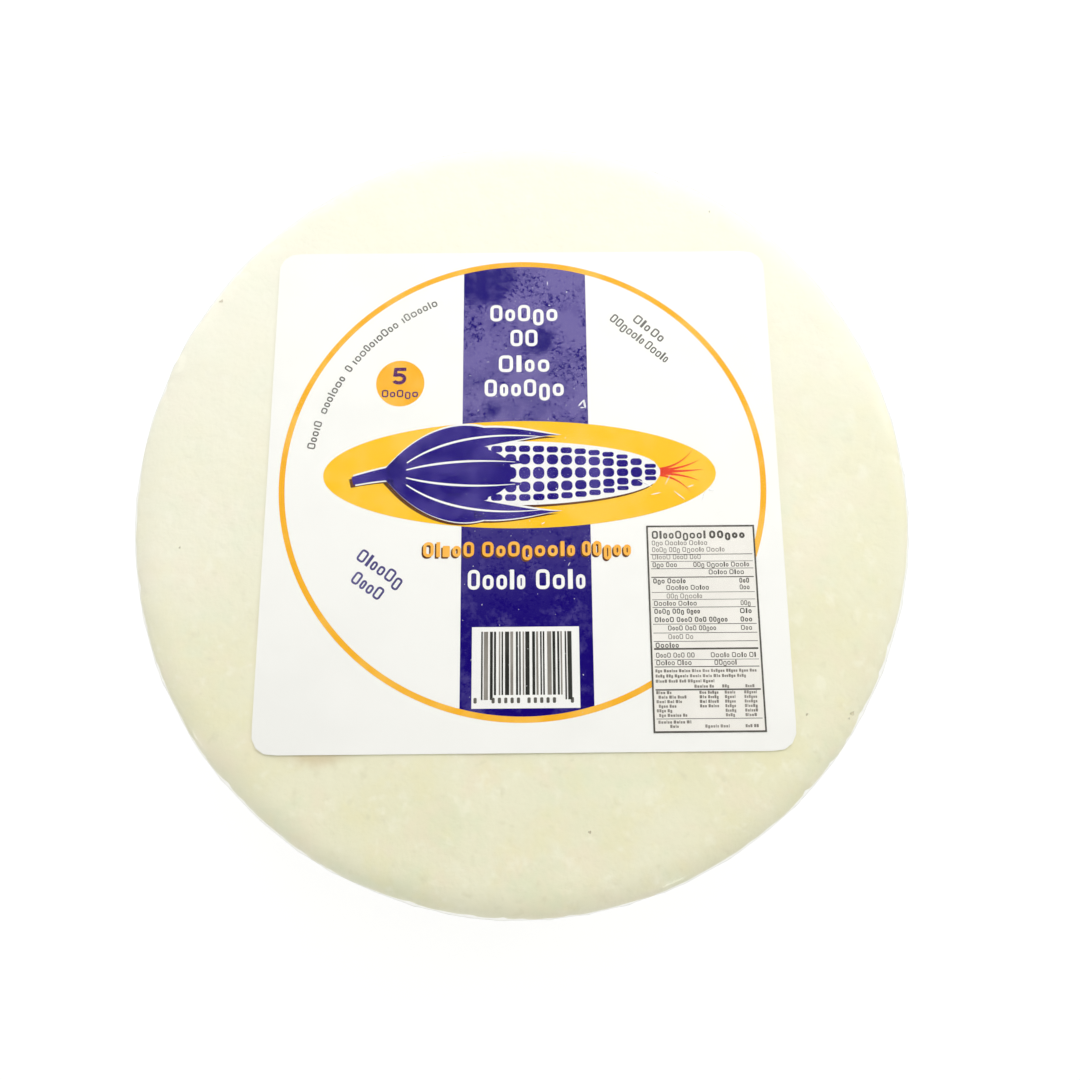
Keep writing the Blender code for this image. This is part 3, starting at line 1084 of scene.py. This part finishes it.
def dough_material():
    """White-corn dough: cream with soft pink, green and yellow patches, pale grits, fine grain and
    a few grey-brown specks of bran. It is painted paler towards the back as painted light, and a
    faint brown painted shadow lies along the label's lower left edge."""
    n = Nodes("white_corn_dough")
    colour = n.blend(n.ramp(n.noise(26 * MM, 2, seed=0.1), 0.35, 0.65), (0.800, 0.781, 0.550), (0.824, 0.809, 0.610))
    colour = n.blend(n.ramp(n.noise(11 * MM, 4, 0.6, seed=0.2), 0.48, 0.68, 0, 0.55), colour, (0.845, 0.770, 0.585))
    colour = n.blend(n.ramp(n.noise(10 * MM, 4, 0.6, seed=0.3), 0.50, 0.70, 0, 0.5), colour, (0.742, 0.782, 0.565))
    colour = n.blend(n.ramp(n.noise(8 * MM, 3, 0.6, seed=0.4), 0.50, 0.70, 0, 0.36), colour, (0.815, 0.775, 0.485))
    colour = n.blend(n.ramp(n.noise(3.2 * MM, 3, 0.6, seed=0.5), 0.54, 0.72, 0, 0.5), colour, (0.885, 0.873, 0.700))
    colour = n.blend(n.ramp(n.noise(2.4 * MM, 3, 0.6, seed=0.6), 0.56, 0.76, 0, 0.45), colour, (0.705, 0.680, 0.476))
    # Painted light: the dough is painted paler and less yellow towards the back, where the lamp is.
    across = n.add("ShaderNodeVectorMath", Vector=n.place)
    across.operation = "DOT_PRODUCT"
    across.inputs[1].default_value = (-0.20, 0.98, 0.0)
    colour = n.blend(n.ramp(across.outputs["Value"], -60 * MM, 55 * MM, 0.0, 0.62), colour, (0.905, 0.90, 0.82))
    # Painted shadow: a faint brown darkening along the label's lower left edge, drawn out along the edge.
    flat = n.add("ShaderNodeVectorMath", Vector=n.place)
    flat.operation = "MULTIPLY"
    flat.inputs[1].default_value = (PAINTED_SHADOW_FLATTEN, 1.0, 0.0)
    painted_shadow = n.add("ShaderNodeVectorMath", Vector=flat.outputs[0])
    painted_shadow.operation = "DISTANCE"
    painted_shadow.inputs[1].default_value = (PAINTED_SHADOW_MIDDLE[0] * PAINTED_SHADOW_FLATTEN, PAINTED_SHADOW_MIDDLE[1], 0.0)
    reach = n.maths("ADD", painted_shadow.outputs["Value"], n.maths("MULTIPLY", n.noise(2.5 * MM, 3, seed=1.1), 1.6 * MM))
    colour = n.blend(n.ramp(reach, 1.2 * MM, 3.6 * MM, 0.55, 0.0), colour, (0.62, 0.50, 0.30))
    rough = n.ramp(n.noise(3 * MM, 3, seed=0.7), 0.3, 0.7, 0.42, 0.6)
    height = n.maths("ADD", n.noise(1.3 * MM, 3, 0.65, seed=0.8), n.maths("MULTIPLY", n.noise(4 * MM, 2, seed=0.9), 1.5))
    shader = n.add("ShaderNodeBsdfPrincipled", Base_Color=colour, Roughness=rough)
    n.put(shader.inputs["Normal"], n.bump(height, 0.5, 0.18 * MM))
    shader.inputs["Specular IOR Level"].default_value = 0.25
    return n.finish(shader.outputs[0])


def card_material():
    """Coated white card with a faint fibre mottle and slightly greyer damp patches."""
    n = Nodes("label_card_white")
    colour = n.blend(n.ramp(n.noise(14 * MM, 3, seed=11), 0.4, 0.7, 0, 0.8), (0.900, 0.903, 0.872), (0.868, 0.872, 0.840))
    colour = n.blend(n.ramp(n.noise(0.7 * MM, 3, 0.6, seed=12), 0.62, 0.8, 0, 0.25), colour, (0.84, 0.84, 0.82))
    height = n.noise(0.35 * MM, 3, seed=13)
    shader = n.add("ShaderNodeBsdfPrincipled", Base_Color=colour)
    n.put(shader.inputs["Roughness"], n.ramp(n.noise(6 * MM, seed=14), 0.3, 0.7, 0.36, 0.48))
    n.put(shader.inputs["Normal"], n.bump(height, 0.2, 0.01 * MM))
    return n.finish(shader.outputs[0])


def ink_material(name, deep, pale, seed):
    """Printing ink that lies slightly unevenly: deep with paler clouds and a fine screen grain."""
    n = Nodes(name)
    cloud = n.ramp(n.noise(7 * MM, 3, seed=seed), 0.38, 0.68)
    colour = n.blend(cloud, deep, pale)
    grain = n.ramp(n.noise(0.3 * MM, 2, 0.6, seed=seed + 1), 0.55, 0.8, 0, 0.35)
    colour = n.blend(grain, colour, pale)
    shader = n.add("ShaderNodeBsdfPrincipled", Base_Color=colour)
    n.put(shader.inputs["Roughness"], n.ramp(n.noise(2 * MM, seed=seed + 2), 0.3, 0.7, 0.34, 0.46))
    n.put(shader.inputs["Normal"], n.bump(n.noise(0.3 * MM, 2, seed=seed + 3), 0.15, 0.008 * MM))
    shader.inputs["Specular IOR Level"].default_value = 0.03
    return n.finish(shader.outputs[0])


def film_material():
    """Clear film: see-through and glossy, with an uneven milky haze that is stronger over the upper
    half, where the added haze is a painted reflection of the lamp.
    """
    n = Nodes("clear_film_hazed_with_painted_sheen")
    parts = n.add("ShaderNodeSeparateXYZ", Vector=n.place)
    # Painted reflection: the faint real haze is made stronger towards the back, where the lamp is.
    upper = n.ramp(parts.outputs["Y"], -30 * MM, 30 * MM, 0.002, 0.011)
    haze_and_painted_sheen = n.maths("MULTIPLY", upper, n.ramp(n.noise(15 * MM, 2, 0.6, seed=0.021), 0.38, 0.62, 0.3, 1.3))
    clear = n.add("ShaderNodeBsdfTransparent")
    clear.inputs["Color"].default_value = (0.99, 0.99, 0.985, 1)
    frost = n.add("ShaderNodeBsdfDiffuse")
    frost.inputs["Color"].default_value = (0.93, 0.94, 0.97, 1)
    body = n.add("ShaderNodeMixShader")
    n.put(body.inputs[0], haze_and_painted_sheen)
    n.put(body.inputs[1], clear.outputs[0])
    n.put(body.inputs[2], frost.outputs[0])
    gloss = n.add("ShaderNodeBsdfGlossy", Roughness=0.14)
    edge = n.add("ShaderNodeLayerWeight", Blend=0.5)
    slant = n.maths("POWER", edge.outputs["Facing"], 5.0)
    base = n.ramp(parts.outputs["Z"], STACK_TOP - 2.0 * MM, STACK_TOP - 0.6 * MM, 0.11, 0.004)
    gain = n.ramp(parts.outputs["Z"], STACK_TOP - 2.0 * MM, STACK_TOP - 0.6 * MM, 0.5, 0.10)
    shine = n.maths("MULTIPLY_ADD", slant, gain, base)
    both = n.add("ShaderNodeMixShader")
    n.put(both.inputs[0], shine)
    n.put(both.inputs[1], body.outputs[0])
    n.put(both.inputs[2], gloss.outputs[0])
    return n.finish(both.outputs[0])


def speck_and_painted_light_material(name, colour, cover):
    """A see-through mark that covers unevenly along its length. It draws the painted highlights and
    painted shade on the film's folds, the painted glints over its top and the bran specks on the dough.
    """
    n = Nodes(name)
    share = n.ramp(n.noise(2.5 * MM, 2, seed=0.041), 0.3, 0.7, cover * 0.5, cover)
    clear = n.add("ShaderNodeBsdfTransparent")
    painted_light_and_speck_layer = n.add("ShaderNodeBsdfDiffuse")
    painted_light_and_speck_layer.inputs["Color"].default_value = (*colour, 1)
    both = n.add("ShaderNodeMixShader")
    n.put(both.inputs[0], share)
    n.put(both.inputs[1], clear.outputs[0])
    n.put(both.inputs[2], painted_light_and_speck_layer.outputs[0])
    return n.finish(both.outputs[0])


def band_material():
    """Indigo ink under film: deep where the film lies tight on it, hazy where it doesn't, with
    clusters of tight flecks in the haze. The haze is partly real and partly a painted reflection of
    the film in the ink's colour, and it is painted strongest over the upper half, where the lamp is."""
    n = Nodes("ink_indigo_hazed_with_painted_sheen")
    parts = n.add("ShaderNodeSeparateXYZ", Vector=n.place)
    clusters = n.ramp(n.noise(6 * MM, 3, 0.65, seed=0.021), 0.40, 0.60)
    flecks = n.ramp(n.noise(0.75 * MM, 4, 0.8, 0.3, seed=0.022), 0.46, 0.60)
    spots = n.ramp(n.noise(0.7 * MM, 2, 0.6, seed=0.028), 0.62, 0.68)
    wet = n.maths("MAXIMUM", n.maths("MULTIPLY", clusters, flecks), n.maths("MULTIPLY", spots, 0.7))
    cloud = n.ramp(n.noise(9 * MM, 3, 0.6, seed=0.027), 0.35, 0.7, 0.62, 1.25)
    wander = n.maths("MULTIPLY", n.noise(5 * MM, 4, 0.6, seed=0.029), 7 * MM)
    tight = 0.0
    for middle, reach in TIGHT_PATCHES:
        patch = n.add("ShaderNodeVectorMath", Vector=n.place)
        patch.operation = "DISTANCE"
        patch.inputs[1].default_value = middle
        rough_edge = n.maths("ADD", patch.outputs["Value"], wander)
        tight = n.maths("MAXIMUM", tight, n.ramp(rough_edge, reach, reach + 4 * MM, 1.0, 0.0))
    ghost = n.ramp(n.noise(2.0 * MM, 4, 0.75, seed=0.033), 0.44, 0.66, 1.0, 0.66)
    wet = n.maths("MAXIMUM", wet, n.maths("MULTIPLY", tight, ghost))
    # Painted light: the haze is painted stronger towards the back, where the lamp is.
    upper = n.ramp(parts.outputs["Y"], -34 * MM, 50 * MM, 0.0, 1.35)
    low = n.ramp(n.noise(5 * MM, 4, 0.65, seed=0.031), 0.44, 0.66, 0.0, 0.34)
    haze_and_painted_sheen = n.maths("MAXIMUM", n.maths("MULTIPLY", upper, cloud), low)
    haze_and_painted_sheen = n.maths("MULTIPLY", haze_and_painted_sheen, n.ramp(wet, 0.0, 1.0, 1.0, 0.02))
    # The hazed colour is partly real haze and partly a painted reflection of the film.
    colour = n.blend(haze_and_painted_sheen, (0.0070, 0.0, 0.158), (0.150, 0.122, 0.345))
    shader = n.add("ShaderNodeBsdfPrincipled", Base_Color=colour, Roughness=0.4)
    shader.inputs["Specular IOR Level"].default_value = 0.02
    return n.finish(shader.outputs[0])


def make_inks():
    return {
        "indigo": ink_material("ink_indigo", (0.014, 0.004, 0.19), (0.060, 0.042, 0.27), 31),
        "dusk": ink_material("ink_dusk", (0.075, 0.065, 0.20), (0.11, 0.10, 0.26), 33),
        "amber": ink_material("ink_amber", (0.90, 0.435, 0.024), (0.93, 0.51, 0.075), 35),
        "gold": ink_material("ink_gold", (0.94, 0.54, 0.018), (0.95, 0.575, 0.060), 39),
        "orange": ink_material("ink_orange", (0.93, 0.44, 0.06), (0.95, 0.50, 0.10), 43),
        "plum": ink_material("ink_plum", (0.090, 0.020, 0.110), (0.14, 0.045, 0.16), 63),
        "umber": ink_material("ink_umber", (0.10, 0.035, 0.015), (0.16, 0.07, 0.03), 45),
        "red": ink_material("ink_red", (0.80, 0.055, 0.02), (0.85, 0.08, 0.035), 46),
        "white": ink_material("ink_white", (0.87, 0.87, 0.85), (0.90, 0.90, 0.88), 47),
        "grey": ink_material("ink_grey", (0.125, 0.12, 0.11), (0.21, 0.205, 0.19), 51),
        "dark": ink_material("ink_dark_grey", (0.085, 0.08, 0.07), (0.14, 0.135, 0.12), 53),
        "panel": ink_material("ink_panel", (0.83, 0.81, 0.76), (0.86, 0.84, 0.79), 57),
        "slate": ink_material("ink_slate", (0.085, 0.08, 0.07), (0.15, 0.14, 0.12), 59),
        "faint": ink_material("ink_faint", (0.22, 0.205, 0.18), (0.32, 0.30, 0.27), 61),
        "black": ink_material("ink_black", (0.025, 0.025, 0.022), (0.05, 0.05, 0.045), 55),
    }


# ---------------------------------------------------------------- stage


def make_floor():
    mesh = bpy.data.meshes.new("floor")
    reach = 3.0
    level = -0.05 * MM
    corners = [(-reach, -reach, level), (reach, -reach, level), (reach, reach, level), (-reach, reach, level)]
    mesh.from_pydata(corners, [], [(0, 1, 2, 3)])
    floor = bpy.data.objects.new("floor", mesh)
    bpy.context.scene.collection.objects.link(floor)
    n = Nodes("pale_floor")
    shader = n.add("ShaderNodeBsdfPrincipled", Base_Color=(0.16, 0.16, 0.158, 1), Roughness=0.8)
    shader.inputs["Emission Color"].default_value = (1, 1, 0.99, 1)
    shader.inputs["Emission Strength"].default_value = 0.885
    mesh.materials.append(n.finish(shader.outputs[0]))


def area_light(name, place, target, size, power, colour):
    lamp = bpy.data.lights.new(name, "AREA")
    lamp.shape = "RECTANGLE"
    lamp.size, lamp.size_y = size
    lamp.energy = power
    lamp.color = colour
    light = bpy.data.objects.new(name, lamp)
    light.location = place
    light.rotation_euler = (Vector(target) - Vector(place)).to_track_quat("-Z", "Y").to_euler()
    bpy.context.scene.collection.objects.link(light)


def make_lights():
    """A studio sky, bright low down and dimmer overhead, and a soft lamp beyond the upper right."""
    world = bpy.data.worlds.new("studio")
    world.use_nodes = True
    tree = world.node_tree
    background = tree.nodes["Background"]
    background.inputs["Color"].default_value = (1.0, 1.0, 0.995, 1)
    way = tree.nodes.new("ShaderNodeTexCoord")
    parts = tree.nodes.new("ShaderNodeSeparateXYZ")
    level = tree.nodes.new("ShaderNodeMapRange")
    level.interpolation_type = "SMOOTHSTEP"
    for name, number in (("From Min", 0.2), ("From Max", 0.9), ("To Min", SKY_LOW), ("To Max", SKY_HIGH)):
        level.inputs[name].default_value = number
    tree.links.new(way.outputs["Generated"], parts.inputs[0])
    tree.links.new(parts.outputs["Z"], level.inputs["Value"])
    tree.links.new(level.outputs["Result"], background.inputs["Strength"])
    bpy.context.scene.world = world
    area_light("key", (0.09, 0.34, 0.46), (0, 0, 0.03), (0.6, 0.6), 2.9, (1.0, 0.985, 0.965))
    for number, turn in enumerate((25, 115, 205, 295)):
        place = (cos(radians(turn)) * 0.85, sin(radians(turn)) * 0.85, 0.32)
        area_light(f"strip_{number + 1}", place, (0, 0, 0.05), (0.07, 0.5), 0.9, (1, 1, 1))


def make_camera():
    camera = bpy.data.objects.new("camera", bpy.data.cameras.new("camera"))
    camera.data.lens = LENS
    camera.data.sensor_width = SENSOR
    camera.data.clip_start = 1 * MM
    camera.location = Vector((LABEL_MIDDLE.x, LABEL_MIDDLE.y, LABEL_FACE)) + CAMERA_FROM_LABEL
    camera.rotation_euler = CAMERA_TURN
    bpy.context.scene.collection.objects.link(camera)
    bpy.context.scene.camera = camera
    bpy.context.scene.view_settings.view_transform = "Standard"


def main():
    dough = dough_material()
    for index in range(len(AREPA_NODES)):
        rings = TOP_FLAT_RINGS if AREPA_NODES[index] == TOP_NODE else PLAIN_FLAT_RINGS
        cake = make_arepa(index, rings, dough)
    make_specks(cake)
    make_label(card_material())
    make_print(make_inks())
    make_film(film_material())
    make_floor()
    make_lights()
    make_camera()


main()
